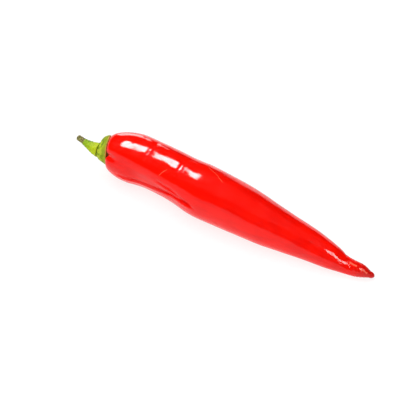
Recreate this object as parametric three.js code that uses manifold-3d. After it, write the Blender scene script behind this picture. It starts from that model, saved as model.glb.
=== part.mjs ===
// A long red chilli pepper, picked with its green calyx and stem, lying on its side.
// It has three pieces, as it grew: the fleshy pod, the calyx that caps the pod's shoulder, and the ribbed stem.
// Millimetres. +X runs from the stem to the tip, +Z is up, and the pod rests on z = 0.
// The origin is under the middle of the whole chilli's box.
import * as THREE from "three";
import { mergeVertices } from "three/addons/utils/BufferGeometryUtils.js";
import Module from "manifold-3d";

// The pod
const POD_LENGTH = 123.5;
const BELLY = 11.3; // radius where the pod is thickest
const SHOULDER = 11.3; // length of the rounded shoulder
const BLUNTNESS = 0.77; // 1 rounds the shoulder as an ellipse, and less makes it steeper at the crest
const CREST = 7; // radius of the raised ring of flesh round the calyx
const DIMPLE = 1.8; // depth of the hollow inside that ring
const POINT = 1.8; // length of the rounded point
const PRESSED = 0.25; // how far the flesh flattens where it rests

// The calyx, a thin cap that follows the shoulder
const CALYX_RIM = 6.5;
const CALYX_EDGE = 0.5; // thickness at the rim
const CALYX_HEIGHT = 4.4; // from the crest to the neck of the stem
const CALYX_LOBES = 5;
const LOBE_DEPTH = 0.05; // as a share of the radius

// The stem
const NECK = 3.2; // radius where the stem meets the calyx
const STEM_LENGTH = 10.4;
const DRY_LENGTH = 3; // the dry, brown end
const DRY_RADIUS = 1.3;

const GAP = 0.35; // clearance between neighbouring pieces
const SIDES = { pod: 40, calyx: 40, stem: 20 };

// Stations along the chilli: share of the pod's length, then the pod's radius, the axis's sideways bow
// and the pod's height off the surface, each as a share of BELLY. The first is out past the stem's end.
const STATIONS = [
  [-0.13, 0.99, -0.41, 0.26],
  [-0.04, 0.99, -0.36, 0.08],
  [0, 0.99, -0.17, 0.09],
  [0.095, 0.975, 0.11, 0],
  [0.155, 0.92, 0.16, 0.03],
  [0.23, 0.905, 0.08, 0.08],
  [0.3, 0.925, -0.02, 0.08],
  [0.37, 0.99, -0.12, 0.03],
  [0.455, 0.96, -0.12, 0],
  [0.535, 0.9, -0.12, 0],
  [0.62, 0.8, -0.13, 0],
  [0.7, 0.685, -0.08, 0],
  [0.78, 0.57, -0.03, 0],
  [0.86, 0.43, -0.02, 0],
  [0.91, 0.285, 0.01, 0.01],
  [0.955, 0.23, 0.08, 0.04],
  [1, 0.05, 0.24, 0.08],
];
// The valleys between the seed chambers: angle round the pod from its +Y side,
// depth as a share of the radius, and how far along the pod they run
const VALLEYS = [
  { angle: 0.9, depth: 0.05, run: 24 },
  { angle: 2.5, depth: 0.06, run: 30 },
  { angle: 4.9, depth: 0.04, run: 26 },
];
const VALLEY_WIDTH = 0.4;

const QUARTER_TURN = Math.PI / 2;
const UP = new THREE.Vector3(0, 0, 1);

// Even steps from 0 to 1, both ends included
const steps = (count) => Array.from({ length: count + 1 }, (_, i) => i / count);

// A smooth curve through the stations' values in one column
function through(column) {
  const last = STATIONS.length - 1;
  const slope = (i) => {
    const before = STATIONS[Math.max(i - 1, 0)];
    const after = STATIONS[Math.min(i + 1, last)];
    return (after[column] - before[column]) / (after[0] - before[0]);
  };
  return (share) => {
    const i = THREE.MathUtils.clamp(STATIONS.findLastIndex(([at]) => at <= share), 0, last - 1);
    const [from, to] = [STATIONS[i], STATIONS[i + 1]];
    const span = to[0] - from[0];
    const t = THREE.MathUtils.clamp((share - from[0]) / span, 0, 1);
    const blend = t * t * (3 - 2 * t);
    const leaving = t * (1 - t) ** 2 * span * slope(i);
    const arriving = t * t * (t - 1) * span * slope(i + 1);
    return from[column] * (1 - blend) + to[column] * blend + leaving + arriving;
  };
}
const radiusShare = through(1);
const bowShare = through(2);
const liftShare = through(3);
const podRadius = (s) => BELLY * radiusShare(s / POD_LENGTH);

// The axis at s millimetres past the crest; the calyx and the stem sit before it
function axis(s) {
  const share = s / POD_LENGTH;
  const height = podRadius(s) - PRESSED + BELLY * liftShare(share);
  return new THREE.Vector3(s, BELLY * bowShare(share), height);
}

// How far the flesh swells at an angle round the pod: valleys near the calyx fade out along it
function swell(s, angle) {
  const drop = VALLEYS.map((valley) => {
    const off = Math.atan2(Math.sin(angle - valley.angle), Math.cos(angle - valley.angle));
    return valley.depth * Math.exp(-((s / valley.run) ** 2) - (off / VALLEY_WIDTH) ** 2);
  });
  return 1 - drop.reduce((sum, one) => sum + one);
}

// Turns an outline of [s, radius] rows round, and lays it along the axis.
// shape(s, angle) scales the radius.
function turned(outline, sides, shape) {
  const flat = outline.map(([s, r]) => new THREE.Vector2(r, s));
  const geometry = new THREE.LatheGeometry(flat, sides);
  geometry.deleteAttribute("normal");
  geometry.deleteAttribute("uv");
  const position = geometry.getAttribute("position");
  for (let i = 0; i < position.count; i++) {
    const [upward, s, across] = position.array.slice(3 * i, 3 * i + 3);
    const angle = Math.atan2(upward, across);
    const radius = Math.hypot(upward, across) * shape(s, angle);
    const ahead = axis(s + 0.5).sub(axis(s - 0.5)).normalize();
    const side = UP.clone().cross(ahead).normalize();
    const above = ahead.clone().cross(side);
    const point = axis(s)
      .addScaledVector(side, radius * Math.cos(angle))
      .addScaledVector(above, radius * Math.sin(angle));
    position.setXYZ(i, ...point);
  }
  return mergeVertices(geometry, 1e-3);
}

// Dimple, crest, rounded shoulder, body and rounded point
function podOutline() {
  const dimple = steps(5).map((t) => [DIMPLE * (0.5 + 0.5 * Math.cos(Math.PI * t)), CREST * t]);
  const shoulder = steps(8).map((t) => {
    const turn = t * QUARTER_TURN;
    const swollen = podRadius(SHOULDER) - CREST;
    return [SHOULDER * (1 - Math.cos(turn)) ** BLUNTNESS, CREST + swollen * Math.sin(turn)];
  });
  const pointStart = POD_LENGTH - POINT;
  const body = steps(34).map((t) => {
    const s = THREE.MathUtils.lerp(SHOULDER, pointStart, t);
    return [s, podRadius(s)];
  });
  const point = steps(4).map((t) => {
    const turn = t * QUARTER_TURN;
    return [pointStart + POINT * Math.sin(turn), podRadius(pointStart) * Math.cos(turn)];
  });
  point.at(-1)[1] = 0;
  return [...dimple, ...shoulder.slice(1), ...body.slice(1), ...point.slice(1)];
}

// A shallow dome outside, and inside the dimple's own shape, GAP clear of the flesh
function calyxOutline() {
  const outside = steps(8).map((t) => [
    THREE.MathUtils.lerp(-CALYX_HEIGHT, -GAP - CALYX_EDGE, t),
    NECK + (CALYX_RIM - NECK) * t ** 0.8,
  ]);
  const inside = steps(5).map((t) => {
    const depth = DIMPLE * (0.5 - 0.5 * Math.cos(Math.PI * t));
    return [depth - GAP, CALYX_RIM * (1 - t)];
  });
  inside.at(-1)[1] = 0;
  return [[-CALYX_HEIGHT, 0], ...outside, ...inside];
}

// A dry rounded end, then a cone that widens to the neck
function stemOutline() {
  const base = -CALYX_HEIGHT - GAP;
  const end = base - STEM_LENGTH;
  const cone = steps(9).map((t) => [
    THREE.MathUtils.lerp(end + DRY_LENGTH, base, t),
    DRY_RADIUS + (NECK - DRY_RADIUS) * t ** 1.3,
  ]);
  const dry = [
    [end, 0],
    [end, 0.7 * DRY_RADIUS],
    [end + 0.35 * DRY_RADIUS, DRY_RADIUS],
    [end + 0.5 * DRY_LENGTH, 0.93 * DRY_RADIUS],
  ];
  return [...dry, ...cone, [base, 0]];
}

// A geometry as a solid that can be cut, and back
const wasm = await Module();
wasm.setup();
function toSolid(geometry) {
  const vertProperties = new Float32Array(geometry.getAttribute("position").array);
  const triVerts = new Uint32Array(geometry.index.array);
  return new wasm.Manifold(new wasm.Mesh({ numProp: 3, vertProperties, triVerts }));
}
function toGeometry(solid) {
  const { vertProperties, triVerts } = solid.getMesh();
  return new THREE.BufferGeometry()
    .setAttribute("position", new THREE.BufferAttribute(vertProperties, 3))
    .setIndex(new THREE.BufferAttribute(triVerts, 1));
}

// The pod's underside is pressed flat where it touches the surface that it lies on
function pressedFlat(geometry) {
  const depth = 2 * BELLY;
  const ground = new THREE.BoxGeometry(3 * POD_LENGTH, 6 * BELLY, depth);
  ground.deleteAttribute("normal");
  ground.deleteAttribute("uv");
  ground.translate(0, 0, -depth / 2);
  return toGeometry(toSolid(geometry).subtract(toSolid(mergeVertices(ground))));
}

const lobed = (s, angle) => swell(s, angle) * (1 + LOBE_DEPTH * Math.cos(CALYX_LOBES * angle));

const pieces = {
  pod: pressedFlat(turned(podOutline(), SIDES.pod, swell)),
  calyx: turned(calyxOutline(), SIDES.calyx, lobed),
  stem: turned(stemOutline(), SIDES.stem, lobed),
};
const finishes = {
  pod: { color: 0xd4140a, roughness: 0.22, metalness: 0 },
  calyx: { color: 0x6f9a1e, roughness: 0.5, metalness: 0 },
  stem: { color: 0x86a82a, roughness: 0.55, metalness: 0 },
};

const lying = new THREE.Group();
for (const [name, geometry] of Object.entries(pieces)) {
  const mesh = new THREE.Mesh(geometry, new THREE.MeshStandardMaterial(finishes[name]));
  mesh.name = name;
  lying.add(mesh);
}
const box = new THREE.Box3().setFromObject(lying, true);
const middle = box.getCenter(new THREE.Vector3());
lying.position.set(-middle.x, -middle.y, -box.min.z);

const chilli = new THREE.Group();
chilli.add(lying);

export default chilli;
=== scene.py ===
from functools import cache
from math import atan2, cos, exp, pi, radians, sin, tau

import bmesh
import bpy
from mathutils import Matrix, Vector, noise


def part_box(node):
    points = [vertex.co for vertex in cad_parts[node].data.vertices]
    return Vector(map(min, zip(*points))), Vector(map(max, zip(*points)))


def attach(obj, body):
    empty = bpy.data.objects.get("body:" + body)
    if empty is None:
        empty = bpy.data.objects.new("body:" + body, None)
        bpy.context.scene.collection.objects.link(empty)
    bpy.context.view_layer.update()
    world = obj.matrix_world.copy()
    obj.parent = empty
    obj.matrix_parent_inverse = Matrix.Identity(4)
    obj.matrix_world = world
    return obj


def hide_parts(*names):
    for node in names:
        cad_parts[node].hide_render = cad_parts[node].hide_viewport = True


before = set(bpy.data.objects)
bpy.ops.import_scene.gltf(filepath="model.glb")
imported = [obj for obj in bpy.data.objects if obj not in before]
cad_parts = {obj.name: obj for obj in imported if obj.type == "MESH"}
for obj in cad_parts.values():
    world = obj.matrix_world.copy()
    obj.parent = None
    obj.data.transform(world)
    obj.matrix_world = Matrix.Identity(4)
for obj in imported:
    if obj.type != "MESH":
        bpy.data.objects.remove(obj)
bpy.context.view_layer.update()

# ---------------------------------------------------------------------------------------------
# The pod: the long red berry of the chilli, thick glossy flesh with a waxy skin. It grew in one
# piece, from the blunt shoulder round the calyx, past a slight waist, to a small pointed tip.
# Its skin shows the valleys between the seed chambers, long folds on one flank and a wrinkled tip.
MM = 0.001
POD_LENGTH = 123.5  # from the crest round the calyx to the tip
BELLY = 11.3  # radius where the pod is thickest
SHOULDER = 11.3  # length of the rounded shoulder
BLUNTNESS = 0.77  # 1 rounds the shoulder as an ellipse, and less makes it steeper at the crest
CREST = 7  # radius of the raised ring of flesh round the calyx
DIMPLE = 1.8  # depth of the hollow inside that ring
POINT = 1.8  # length of the rounded point
PRESSED = 0.25  # how far the flesh flattens where it rests
POD_RINGS = 440
POD_SIDES = 200

# Stations along the chilli: share of the pod's length, then the pod's radius, the axis's sideways
# bow and the pod's height off the surface, each as a share of BELLY. The first is out past the
# stem's end.
STATIONS = [
    (-0.13, 0.99, -0.41, 0.34),
    (-0.04, 0.99, -0.36, 0.08),
    (0, 0.99, -0.17, 0.09),
    (0.095, 0.975, 0.11, 0),
    (0.155, 0.92, 0.16, 0.03),
    (0.23, 0.905, 0.08, 0.08),
    (0.3, 0.925, -0.02, 0.08),
    (0.37, 0.99, -0.12, 0.03),
    (0.455, 0.96, -0.12, 0),
    (0.535, 0.9, -0.12, 0),
    (0.62, 0.8, -0.13, 0),
    (0.7, 0.685, -0.08, 0),
    (0.78, 0.57, -0.03, 0),
    (0.86, 0.43, -0.02, 0),
    (0.91, 0.285, 0.01, 0.01),
    (0.955, 0.23, 0.08, 0.04),
    (1, 0.05, 0.24, 0.08),
]
# Valleys between the seed chambers: angle round the pod from its +Y side in degrees, depth as a
# share of the radius, how far along the pod they run, and their half width in degrees
VALLEYS = [(51, 0.05, 24, 23), (157, 0.075, 13, 14), (281, 0.04, 26, 23)]
# Clefts where the valleys cut into the crest: angle, depth and reach along the pod
CLEFTS = [(51, 0.5, 3), (156, 1.0, 4), (281, 0.6, 4)]
CLEFT_WIDTH = 9
CLEFT_SINK = 0.6  # how far a cleft sinks towards the axis, as a share of its depth along the pod
# Long folds in the flank: the line that each follows as (distance from the crest, angle), then its
# depth, its half width and the height of the lip under it
FOLDS = [
    (
        [(5, 196), (10, 194), (19, 192), (27, 188), (34, 182), (40, 177), (45, 177), (50, 180)],
        0.75, 0.65, 0.22,
    ),
    ([(28, 160), (33, 163), (40, 167), (45, 175), (50, 180)], 0.45, 0.6, 0.15),
]
# A fold's lip, in half widths of the fold: how far off the fold's line it is, and its half width
LIP_OFFSET = 1.9
LIP_WIDTH = 1.2
# Dents and swellings: distance from the crest, angle, height, half length and half width
DENTS = [
    (10, 140, 0.4, 8, 25),
    (15, 2, -0.18, 7, 30),
    (21.5, 108, -0.18, 1.2, 26),
    (38, 105, -0.13, 1.1, 24),
    (42, 133, -0.2, 7, 24),
    (98, 104, -0.08, 1.2, 24),
    (101, 160, 0.3, 11, 17),
    (113.5, 60, 0.45, 2.6, 50),
    (119, 70, 0.35, 3, 80),
]
# The upper front flank is nearly straight past the waist: how far it stands out, by the distance
# from the crest
FLANK = [
    (5, 0), (9.5, 0.05), (14, 0.7), (18, 1.35), (25, 1.5),
    (31, 1.27), (36, 0.85), (41, 0.25), (45, 0), (50, 0),
]
# Round the pod it fades out on both sides of this angle: degrees off it where it has gone and where
# it is whole, towards the front and towards the back
FLANK_MIDDLE = 120
FLANK_FRONT = (62, 28)
FLANK_BACK = (-86, -22)
# Soft unevenness: its height and its fine part's height. The flesh is FULLER than the stations say
# past the first distance from the crest in BELLY_ENDS, and LEANER less than that before the second.
UNEVEN = 0.1
UNEVEN_FINE = 0.035
FULLER = 0.14
LEANER = 0.23
BELLY_ENDS = (80, 50)
# The shrunken tip: where its first ring is, how far that ring leans and towards which angle, how
# deep it is, and the other rings' pitch and height
TIP_RING = 112.5
TIP_LEAN = 3.5
TIP_LEAN_ANGLE = 185
TIP_GROOVE = 0.16
TIP_PITCH = 1.1
TIP_WRINKLE = 0.035
TIP_INSET = 0.03  # leaves room for the wrinkles inside the pod's box
# The outline's rings are closer together from TIP_RUN before the first ring on. Where the dimple,
# the shoulder, the body and the tip end, as shares of all the rings; the rest make the point.
TIP_RUN = 6
DIMPLE_ENDS, SHOULDER_ENDS, BODY_ENDS, TIP_ENDS = 0.05, 0.17, 0.8, 0.97


def part(t, start, end):
    """How far t has come from start to end, as a share."""
    return (t - start) / (end - start)


def smooth(value, low, high):
    """Rises smoothly from 0 at low to 1 at high."""
    t = min(max(part(value, low, high), 0), 1)
    return t * t * (3 - 2 * t)


def bell(distance, width):
    """1 at no distance, and nearly 0 at twice the width."""
    return exp(-((distance / width) ** 2))


def around(angle, middle):
    """Degrees from the angle middle, which is in degrees, to angle, which is in radians."""
    off = angle - radians(middle)
    return atan2(sin(off), cos(off)) * 180 / pi


def through(rows, column):
    """A smooth curve through one column of the rows, by their first column."""
    last = len(rows) - 1

    def slope(i):
        before, after = rows[max(i - 1, 0)], rows[min(i + 1, last)]
        return (after[column] - before[column]) / (after[0] - before[0])

    @cache
    def curve(at):
        i = sum(row[0] <= at for row in rows[1:-1])
        start, end = rows[i], rows[i + 1]
        span = end[0] - start[0]
        t = min(max((at - start[0]) / span, 0), 1)
        rise = t * t * (3 - 2 * t)
        leaving = t * (1 - t) ** 2 * span * slope(i)
        arriving = t * t * (t - 1) * span * slope(i + 1)
        return start[column] * (1 - rise) + end[column] * rise + leaving + arriving

    return curve


radius_share = through(STATIONS, 1)
bow_share = through(STATIONS, 2)
lift_share = through(STATIONS, 3)
fold_lines = [through(line, 1) for line, *_ in FOLDS]
flank = through(FLANK, 1)

pod_low, pod_high = (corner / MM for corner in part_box("pod"))
crest_x = pod_high.x - POD_LENGTH - TIP_INSET
shares = [i / 200 for i in range(201)]
reach = [BELLY * (bow_share(at) + sign * radius_share(at)) for at in shares for sign in (-1, 1)]
middle_y = (pod_low.y + pod_high.y - min(reach) - max(reach)) / 2


def pod_radius(s):
    return BELLY * radius_share(s / POD_LENGTH)


def axis(s):
    """The chilli's axis, s millimetres past the crest."""
    share = s / POD_LENGTH
    height = pod_radius(s) - PRESSED + BELLY * lift_share(share)
    return Vector((crest_x + s, middle_y + BELLY * bow_share(share), height))


@cache
def section(s):
    """The axis at s, with the directions across it and above it."""
    ahead = (axis(s + 0.5) - axis(s - 0.5)).normalized()
    side = Vector((0, 0, 1)).cross(ahead).normalized()
    return axis(s), side, ahead.cross(side)


def swell(s, angle):
    """How far the flesh swells: the valleys fade out along the pod."""
    drop = sum(
        depth * bell(s, run) * bell(around(angle, at), width) for at, depth, run, width in VALLEYS
    )
    return 1 - drop


def turned(name, rings, sides, outline, relief):
    """A surface turned round the chilli's axis. outline(t) gives s and the radius for t from 0 to 1,
    and relief(s, radius, angle) gives both again where the real surface is."""
    bm = bmesh.new()
    line = [bm.verts.new((t, 0, 1)) for t in (0, 1)]
    bm.edges.new(line)
    bmesh.ops.subdivide_edges(bm, edges=bm.edges[:], cuts=rings - 1)
    bmesh.ops.spin(
        bm, geom=bm.verts[:] + bm.edges[:], cent=(0, 0, 0), axis=(1, 0, 0),
        angle=tau, steps=sides, use_merge=True,
    )
    for vert in bm.verts:
        angle = atan2(vert.co.z, vert.co.y)
        s, radius = outline(round(vert.co.x * rings) / rings)
        s_moved, radius = relief(s, radius, angle)
        centre, side, above = section(s)
        along = above.cross(side) * -1
        spot = centre + (side * cos(angle) + above * sin(angle)) * radius + along * (s_moved - s)
        spot.z = max(spot.z, 0)
        vert.co = spot * MM
    bmesh.ops.remove_doubles(bm, verts=bm.verts[:], dist=1e-7)
    bmesh.ops.recalc_face_normals(bm, faces=bm.faces[:])
    for face in bm.faces:
        face.smooth = True
    mesh = bpy.data.meshes.new(name)
    bm.to_mesh(mesh)
    bm.free()
    piece = bpy.data.objects.new(name, mesh)
    bpy.context.scene.collection.objects.link(piece)
    return piece


def pod_outline(t):
    """Dimple, crest, rounded shoulder, body, and a shrunken tip with rings closer together."""
    tip_start = TIP_RING - TIP_RUN
    point_start = POD_LENGTH - POINT
    if t < DIMPLE_ENDS:
        u = part(t, 0, DIMPLE_ENDS)
        return DIMPLE * (0.5 + 0.5 * cos(pi * u)), CREST * u
    if t < SHOULDER_ENDS:
        turn = part(t, DIMPLE_ENDS, SHOULDER_ENDS) * pi / 2
        swollen = pod_radius(SHOULDER) - CREST
        return SHOULDER * (1 - cos(turn)) ** BLUNTNESS, CREST + swollen * sin(turn)
    if t < BODY_ENDS:
        s = SHOULDER + (tip_start - SHOULDER) * part(t, SHOULDER_ENDS, BODY_ENDS)
        return s, pod_radius(s)
    if t < TIP_ENDS:
        s = tip_start + (point_start - tip_start) * part(t, BODY_ENDS, TIP_ENDS)
        return s, pod_radius(s)
    turn = part(t, TIP_ENDS, 1) * pi / 2
    return point_start + POINT * sin(turn), pod_radius(point_start) * cos(turn)


def pod_relief(s, radius, angle):
    """Valleys, clefts, folds, dents and wrinkles in the flesh."""
    rise = 0
    sunk = 0
    inner = smooth(radius, 0.3 * CREST, CREST)
    for at, depth, run in CLEFTS:
        cut = depth * bell(s, run) * bell(around(angle, at), CLEFT_WIDTH) * inner
        rise -= CLEFT_SINK * cut
        sunk += cut
    for (line, depth, width, lip), middle in zip(FOLDS, fold_lines):
        off = radians(around(angle, middle(s))) * radius
        fade = smooth(s, line[0][0], line[1][0]) * smooth(s, line[-1][0], line[-2][0])
        raised = lip * bell(off - LIP_OFFSET * width, LIP_WIDTH * width)
        rise += fade * (raised - depth * bell(off, width))
    for at, middle, height, length, width in DENTS:
        rise += height * bell(s - at, length) * bell(around(angle, middle), width)
    off = around(angle, FLANK_MIDDLE)
    rise += flank(s) * smooth(off, *FLANK_FRONT) * smooth(off, *FLANK_BACK)
    # Soft unevenness all over
    spot = Vector((s / 9, 1.5 * cos(angle), 1.5 * sin(angle)))
    soft = UNEVEN * noise.noise(spot) + FULLER - LEANER * smooth(s, *BELLY_ENDS)
    rise += soft * smooth(s, 0, 10) * radius / BELLY
    rise += UNEVEN_FINE * noise.noise(spot * 3.1) * smooth(s, 0, 6)
    # The tip is shrunk into rings, and the first parts it from the body
    ring = s - TIP_RING - TIP_LEAN * cos(angle - radians(TIP_LEAN_ANGLE))
    rise -= TIP_GROOVE * bell(ring, 0.5) * smooth(around(angle, 100), 95, 40)
    wave = sin(ring * tau / TIP_PITCH + noise.noise(spot * 2) * 3)
    rise += TIP_WRINKLE * wave * smooth(ring, 0.5, 2)
    return s + sunk, max(radius * swell(s, angle) + rise * min(radius / 2, 1), 0)


pod = turned("pod_skin", POD_RINGS, POD_SIDES, pod_outline, pod_relief)


class Tone:
    """A socket of a finish's nodes. Arithmetic on it adds Math nodes."""

    def __init__(self, tree, socket=None):
        self.tree = tree
        self.socket = socket

    def node(self, kind, settings=None, inputs=None, output=0):
        """Adds a node of any kind: first its settings, then its inputs by name or by place."""
        made = self.tree.nodes.new("ShaderNode" + kind)
        for name, value in (settings or {}).items():
            setattr(made, name, value)
        for key, value in (inputs or {}).items():
            if isinstance(value, Tone):
                self.tree.links.new(value.socket, made.inputs[key])
            else:
                made.inputs[key].default_value = value
        return Tone(self.tree, made.outputs[output])

    def math(self, operation, *values):
        """A Math node on this value and the given ones."""
        return self.node("Math", {"operation": operation}, dict(enumerate((self, *values))))

    def __add__(self, other):
        return self.math("ADD", other)

    def __sub__(self, other):
        return self.math("SUBTRACT", other)

    def __rsub__(self, other):
        return self * -1 + other

    def __mul__(self, other):
        return self.math("MULTIPLY", other)

    __radd__ = __add__
    __rmul__ = __mul__

    def ramp(self, low, high, start=0, end=1):
        """Goes smoothly from start to end as this value goes from low to high."""
        return self.node(
            "MapRange",
            {"interpolation_type": "SMOOTHSTEP"},
            {0: self, 1: low, 2: high, 3: start, 4: end},
        )

    def mix(self, first, second):
        """The first colour where this value is 0, the second where it is 1."""
        return self.node("Mix", {"data_type": "RGBA"}, {0: self, 6: first, 7: second}, output=2)

    def stretched(self, scale):
        """These coordinates, scaled along each axis."""
        return self.node("Mapping", {}, {"Vector": self, "Scale": scale})

    def grain(self, scale, detail=3):
        """Noise from 0 to 1 at these coordinates."""
        return self.node("TexNoise", {}, {"Vector": self, "Scale": scale, "Detail": detail})

    def dot(self, direction):
        """How far these coordinates lie along a direction."""
        return self.node(
            "VectorMath", {"operation": "DOT_PRODUCT"}, {0: self, 1: direction}, output="Value"
        )

    def bump(self, strength, distance):
        """A surface normal from this height, where 1 stands distance high."""
        return self.node("Bump", {}, {"Height": self, "Strength": strength, "Distance": distance})


def finish(name, piece, **constants):
    """A new material on the piece. Gives its shader and the piece's place in millimetres."""
    material = bpy.data.materials.new(name)
    material.use_nodes = True
    tree = material.node_tree
    shader = tree.nodes["Principled BSDF"]
    for key, value in constants.items():
        shader.inputs[key.replace("_", " ")].default_value = value
    piece.data.materials.append(material)
    place = Tone(tree).node("TexCoord", output="Object")
    return shader, place.node("VectorMath", {"operation": "SCALE"}, {0: place, "Scale": 1 / MM})


def feed(shader, **sockets):
    """Links tones to the shader's sockets."""
    for key, tone in sockets.items():
        tone.tree.links.new(tone.socket, shader.inputs[key.replace("_", " ")])


SKIN_RED = (0.93, 0.0046, 0.0006, 1)
SKIN_DEEP = (0.82, 0.003, 0.0004, 1)
SKIN_CROWN = (0.95, 0.09, 0.02, 1)
SKIN_TIP = (0.60, 0.005, 0.002, 1)
# The pale colour of the scars, and of the painted highlight on the tip
SKIN_SCAR_AND_GLINT = (0.95, 0.16, 0.09, 1)
SKIN_PORES = 0.00006  # height of the skin's fine grain, in metres
# Fine scars, the last two of them a painted highlight, pale marks on the wrinkled tip for its row
# of glints: where each starts and ends, as (distance from the crest, angle), and its half width
SCARS_AND_GLINTS = [
    ((31, 149), (33.5, 126), 0.16),
    ((44.4, 69), (56.2, 97), 0.16),
    ((113.3, 102), (116.8, 112), 0.5),
    ((117.4, 116), (120.6, 140), 0.38),
]
SCAR_AND_GLINT_STRENGTH = 0.8
SCAR_AND_GLINT_WOBBLE = 1.2  # how far each scar and painted glint mark strays to both sides, end to end
SCAR_AND_GLINT_REACH = 4  # how far towards the axis the colour of each scar and painted glint mark goes, so that none shows on the far side

shader, place = finish(
    "chilli_skin", pod, IOR=1.37, Subsurface_Weight=0.1, Subsurface_Radius=(1, 0.18, 0.08),
    Subsurface_Scale=0.002,
)
along = place.node("SeparateXYZ", {}, {0: place})
streaks = place.stretched((0.05, 0.5, 0.5)).grain(1, 4)
clouds = place.grain(0.09, 3)
red = (streaks * 0.5 + clouds * 0.5).ramp(0.38, 0.62).mix(SKIN_DEEP, SKIN_RED)
crown = along.ramp(crest_x + 2.5, crest_x - 1.5) * place.grain(0.5, 2).ramp(0.2, 0.6)
red = crown.mix(red, SKIN_CROWN)
red = along.ramp(crest_x + TIP_RING, crest_x + POD_LENGTH).mix(red, SKIN_TIP)
# Pale lines mixed into the red: scars, and on the tip a painted highlight for its row of glints
for start, end, width in SCARS_AND_GLINTS:
    ends = [
        centre + (side * cos(angle) + above * sin(angle)) * pod_radius(s)
        for s, angle in ((s, radians(angle)) for s, angle in (start, end))
        for centre, side, above in [section(s)]
    ]
    run = ends[1] - ends[0]
    outward = (ends[0] + ends[1]) / 2 - axis((start[0] + end[0]) / 2)
    across = run.cross(outward).normalized()
    wobble = (place.grain(0.35, 2) - 0.5) * SCAR_AND_GLINT_WOBBLE
    off = (place.dot(across) - across.dot(ends[0]) + wobble).math("ABSOLUTE")
    share = place.dot(run / run.length_squared) - run.dot(ends[0]) / run.length_squared
    upward = outward.normalized()
    near = place.dot(upward) - (upward.dot(ends[0]) - SCAR_AND_GLINT_REACH)
    scar_and_glint = off.ramp(width, 0.3 * width) * share.ramp(0, 0.1) * share.ramp(1, 0.9) * near.ramp(0, 1)
    red = (scar_and_glint * SCAR_AND_GLINT_STRENGTH).mix(red, SKIN_SCAR_AND_GLINT)
feed(
    shader,
    Base_Color=red,
    Roughness=place.grain(0.25, 3).ramp(0.3, 0.7, 0.07, 0.13),
    Normal=place.grain(1.3, 3).bump(0.25, SKIN_PORES),
)
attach(pod, "root")
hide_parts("pod")

# ---------------------------------------------------------------------------------------------
# The calyx: the green cap of the flower, which stays on the pod's shoulder. It is a thin, tough
# dome with five blunt lobes and a rib to each, and its rim is dry and stands a little off the flesh.
CALYX_RIM = 6.5
CALYX_EDGE = 0.5  # thickness at the rim
CALYX_HEIGHT = 4.4  # from the crest to the neck of the stem
CALYX_GAP = 0.35  # from the flesh
NECK = 3.2  # radius where the stem meets the calyx
LOBES = 5
LOBE_TURN = 0.6  # turns the lobes round the axis
LOBE_DEPTH = 0.05  # as a share of the radius
LOBE_UNEVEN = 0.04
RIB_HEIGHT = 0.22
NECK_FOLD = 0.25
RIM_BULGE = 0.15
RIM_WAVE = 0.3
GREEN_GRAIN = 0.0002  # height of the fine grain on the calyx and the stem, in metres
# Where the neck, the dome and the rim end, as shares of the calyx's rings; the rest line its inside
NECK_ENDS, DOME_ENDS, RIM_ENDS = 0.06, 0.6, 0.7


def calyx_outline(t):
    """A shallow dome outside, a rounded rim, and the dimple's shape inside."""
    if t < NECK_ENDS:
        return -CALYX_HEIGHT, NECK * part(t, 0, NECK_ENDS)
    if t < DOME_ENDS:
        u = part(t, NECK_ENDS, DOME_ENDS)
        s = -CALYX_HEIGHT + (CALYX_HEIGHT - CALYX_GAP - CALYX_EDGE) * u
        return s, NECK + (CALYX_RIM - NECK) * u**0.8
    if t < RIM_ENDS:
        turn = part(t, DOME_ENDS, RIM_ENDS) * pi
        half = CALYX_EDGE / 2
        return -CALYX_GAP - half - half * cos(turn), CALYX_RIM + RIM_BULGE * sin(turn)
    u = 1 - part(t, RIM_ENDS, 1)
    return DIMPLE * (0.5 + 0.5 * cos(pi * u)) - CALYX_GAP, CALYX_RIM * u


def calyx_relief(s, radius, angle):
    """Lobes at the rim, a rib down the middle of each, and a fold round the neck."""
    share = radius / CALYX_RIM
    lobe = LOBES * angle + LOBE_TURN
    uneven = noise.noise(Vector((1.7 * cos(angle), 1.7 * sin(angle), 3)))
    edge = (LOBE_DEPTH * cos(lobe) + LOBE_UNEVEN * uneven) * smooth(share, 0.6, 1)
    radius *= swell(s, angle) * (1 + edge)
    outside = smooth(s, -CALYX_GAP - 0.3, -CALYX_GAP - 0.8)
    rib = RIB_HEIGHT * bell(sin(lobe / 2), 0.35)
    radius += rib * outside * smooth(share, 0.45, 0.6) * smooth(share, 1.02, 0.85)
    s += NECK_FOLD * bell(radius - NECK - 0.5, 0.35) * outside
    s += RIM_WAVE * uneven * smooth(share, 0.8, 1)
    return s, radius


calyx = turned("calyx_cap", 120, 160, calyx_outline, calyx_relief)

CALYX_GREEN = (0.44, 0.52, 0.02, 1)
CALYX_DARK = (0.13, 0.22, 0.002, 1)
CALYX_OLIVE = (0.26, 0.32, 0.008, 1)
CALYX_RIM_DRY = (0.55, 0.26, 0.05, 1)

shader, place = finish(
    "calyx_green", calyx, Specular_IOR_Level=0.12, Subsurface_Weight=0.08, Subsurface_Scale=0.001,
)
rim, side, above = section(-CALYX_GAP)
ahead = side.cross(above)
past_rim = place.dot(ahead) - rim.dot(ahead)
green = place.grain(0.6, 3).ramp(0.3, 0.6).mix(CALYX_DARK, CALYX_GREEN)
green = past_rim.ramp(-2.6, -0.8).mix(green, CALYX_OLIVE)
dry = (past_rim + place.grain(0.9, 3) * 0.9).ramp(-0.1, 0.35)
feed(
    shader,
    Base_Color=dry.mix(green, CALYX_RIM_DRY),
    Roughness=place.grain(1.2, 3).ramp(0.3, 0.7, 0.4, 0.55),
    Normal=place.grain(1.8, 3).bump(0.4, GREEN_GRAIN),
)
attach(calyx, "root")
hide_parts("calyx")

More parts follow.
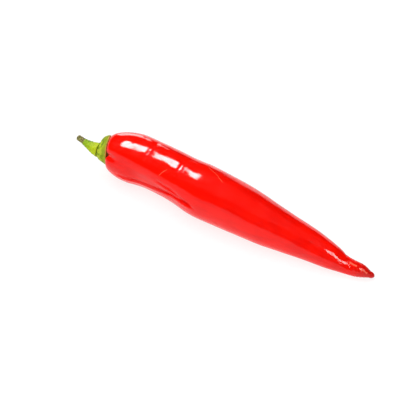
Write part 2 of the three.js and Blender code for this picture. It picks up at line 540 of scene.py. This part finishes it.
# ---------------------------------------------------------------------------------------------
# The stem: the stalk that the chilli hung by, fleshy and ribbed where it widens into the calyx,
# and dried brown and wrinkled at the end where it was snapped off the plant.
STEM_LENGTH = 10.4
DRY_LENGTH = 3
DRY_RADIUS = 1.3
STEM_RIDGES = 6
RIDGE_HEIGHT = 0.05  # this and the next two as a share of the radius
RING_HEIGHT = 0.02
STEM_UNEVEN = 0.02
RIDGE_TWIST = 0.3  # radians to the millimetre
RING_PITCH = 1.3
BLUNT_END = 0.6  # how far the dry end is rounded, as a share of DRY_RADIUS
DRY_TAPER = 0.96  # radius of the dry end's start, as a share of DRY_RADIUS
# Where the rounded end and the stalk end, as shares of the stem's rings; the rest close its base
BLUNT_ENDS, STALK_ENDS = 0.12, 0.93
stem_base = -CALYX_HEIGHT - CALYX_GAP
stem_end = stem_base - STEM_LENGTH


def stem_outline(t):
    """A rounded, dry end, then a cone that widens to the neck."""
    blunt = BLUNT_END * DRY_RADIUS
    if t < BLUNT_ENDS:
        turn = part(t, 0, BLUNT_ENDS) * pi / 2
        return stem_end + blunt * (1 - cos(turn)), DRY_TAPER * DRY_RADIUS * sin(turn)
    if t < STALK_ENDS:
        u = part(t, BLUNT_ENDS, STALK_ENDS)
        start = stem_end + blunt
        s = start + (stem_base - start) * u
        cone = max(part(s, stem_end + DRY_LENGTH, stem_base), 0)
        thin = DRY_RADIUS * (DRY_TAPER + (1 - DRY_TAPER) * u)
        return s, thin + (NECK - DRY_RADIUS) * cone**1.3
    return stem_base, NECK * (1 - part(t, STALK_ENDS, 1))


def stem_relief(s, radius, angle):
    """Ridges along the stalk, rings across it, and the shrunken end."""
    dry = smooth(s, stem_end + DRY_LENGTH + 0.3, stem_end + DRY_LENGTH - 0.4)
    rough = noise.noise(Vector((s * 0.9, 3 * cos(angle), 3 * sin(angle))))
    full = smooth(radius, 0, 1)
    ridges = RIDGE_HEIGHT * cos(STEM_RIDGES * angle + RIDGE_TWIST * s)
    rings = RING_HEIGHT * sin(s * tau / RING_PITCH + rough)
    grown = radius * (1 + ridges + rings + STEM_UNEVEN * rough)
    shrunk = radius * (0.95 + 0.1 * rough + 0.05 * cos(9 * angle))
    radius += full * (grown * (1 - dry) + shrunk * dry - radius)
    return s, radius


stem = turned("stem_stalk", 150, 96, stem_outline, stem_relief)

STEM_GREEN = (0.30, 0.45, 0.004, 1)
STEM_DARK = (0.17, 0.30, 0.002, 1)
STEM_PALE = (0.43, 0.52, 0.008, 1)
STEM_DRY = (0.33, 0.31, 0.10, 1)
STEM_DRY_DARK = (0.07, 0.06, 0.02, 1)

shader, place = finish(
    "stem_green", stem, Specular_IOR_Level=0.12, Subsurface_Weight=0.08, Subsurface_Scale=0.001,
)
snapped, side, above = section(stem_end)
ahead = side.cross(above)
from_end = place.dot(ahead) - snapped.dot(ahead)
green = place.stretched((1.2, 0.3, 0.3)).grain(1, 4).ramp(0.35, 0.65).mix(STEM_DARK, STEM_GREEN)
green = from_end.ramp(STEM_LENGTH - 5, STEM_LENGTH - 1).mix(green, STEM_PALE)
brown = place.grain(1.6, 4).ramp(0.35, 0.65).mix(STEM_DRY_DARK, STEM_DRY)
dry = (from_end + place.grain(0.9, 3) * 0.8).ramp(DRY_LENGTH + 1.5, DRY_LENGTH + 0.8)
feed(
    shader,
    Base_Color=dry.mix(green, brown),
    Roughness=dry.ramp(0, 1, 0.5, 0.8),
    Normal=place.stretched((0.5, 1.5, 1.5)).grain(1.3, 4).bump(0.4, GREEN_GRAIN),
)
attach(stem, "root")
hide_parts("stem")

# ---------------------------------------------------------------------------------------------
# The surface that the chilli lies on: a plain pale sheet, matt, with the faintest grain, lit from
# below as a light table is.
SHEET_RADIUS = 3
SHEET_GLOW = 0.82
SHEET_DARK = (0.19, 0.19, 0.19, 1)
SHEET_PALE = (0.21, 0.21, 0.21, 1)

bm = bmesh.new()
bmesh.ops.create_circle(bm, cap_ends=True, segments=96, radius=SHEET_RADIUS)
mesh = bpy.data.meshes.new("surface")
bm.to_mesh(mesh)
bm.free()
surface = bpy.data.objects.new("surface", mesh)
bpy.context.scene.collection.objects.link(surface)
shader, place = finish(
    "pale_sheet", surface, Specular_IOR_Level=0.2, Emission_Color=(1, 1, 1, 1),
    Emission_Strength=SHEET_GLOW,
)
feed(
    shader,
    Base_Color=place.grain(0.4, 3).ramp(0.3, 0.7).mix(SHEET_DARK, SHEET_PALE),
    Roughness=place.grain(0.8, 2).ramp(0, 1, 0.85, 0.95),
)


# ---------------------------------------------------------------------------------------------
# The light: two broad soft lamps that light the chilli and are kept out of its gloss, four smaller
# ones that show only in the gloss, and a pale studio all round that is dark overhead.
LAMP_AIM = Vector((0, 0, 0.015))  # the point that every lamp faces, in metres
STUDIO_PALE = (0.9, 0.9, 0.9, 1)
STUDIO_DARK = (0.03, 0.03, 0.03, 1)
STUDIO_UP = (0, 0.09, 1)  # the studio's dark part is centred on this direction
STUDIO_EDGE = (0.12, 0.2)  # how high above level the pale ends and the dark begins


def softbox(name, direction, size, brightness):
    """An area light a metre from the chilli, facing it. brightness is what its panel shows."""
    light = bpy.data.lights.new(name, "AREA")
    light.shape = "RECTANGLE"
    light.size, light.size_y = size
    light.energy = brightness * pi * size[0] * size[1]
    lamp = bpy.data.objects.new(name, light)
    towards = Vector(direction).normalized()
    lamp.location = towards + LAMP_AIM
    lamp.rotation_mode = "QUATERNION"
    lamp.rotation_quaternion = towards.to_track_quat("Z", "Y")
    bpy.context.scene.collection.objects.link(lamp)
    return lamp


def plain(lamp):
    """Keeps a lamp out of the gloss, as crossed polarisers do."""
    lamp.visible_glossy = False


def glint(lamp):
    """Keeps a lamp to the gloss."""
    lamp.visible_diffuse = False


plain(softbox("tent_light", (-0.3, 0, 0.95), (1.4, 1.4), 2.8))
plain(softbox("fill_light", (0.35, -0.75, 0.45), (1.2, 0.8), 1.25))
glint(softbox("key_light", (-0.505, 0.03, 0.862), (0.38, 0.2), 34))
glint(softbox("tip_light", (0.58, -0.3, 0.75), (0.3, 0.6), 15))
glint(softbox("wall_light", (-0.66, 0.75, 0.22), (0.34, 0.35), 6))
glint(softbox("rim_light", (-0.09, 0.98, 0.15), (0.45, 0.3), 1.1))

world = bpy.data.worlds.new("studio")
world.use_nodes = True
bpy.context.scene.world = world
heading = Tone(world.node_tree).node("TexCoord", output="Generated")
overhead = heading.dot(STUDIO_UP).ramp(*STUDIO_EDGE)
background = world.node_tree.nodes["Background"]
feed(background, Color=overhead.mix(STUDIO_PALE, STUDIO_DARK))

# ---------------------------------------------------------------------------------------------
# The camera, looking down at the chilli's side.
AZIMUTH, ELEVATION = radians(33.5), radians(41.2)
AIM = Vector((-7.3, -4.1, 8.9)) * MM
DISTANCE = 0.541
LENS = 120
camera = bpy.data.objects.new("camera", bpy.data.cameras.new("camera"))
camera.data.lens = LENS
back = Vector((sin(AZIMUTH) * cos(ELEVATION), -cos(AZIMUTH) * cos(ELEVATION), sin(ELEVATION)))
camera.location = AIM + back * DISTANCE
camera.rotation_mode = "QUATERNION"
camera.rotation_quaternion = back.to_track_quat("Z", "Y")
bpy.context.scene.collection.objects.link(camera)
bpy.context.scene.camera = camera
bpy.context.scene.view_settings.view_transform = "Standard"
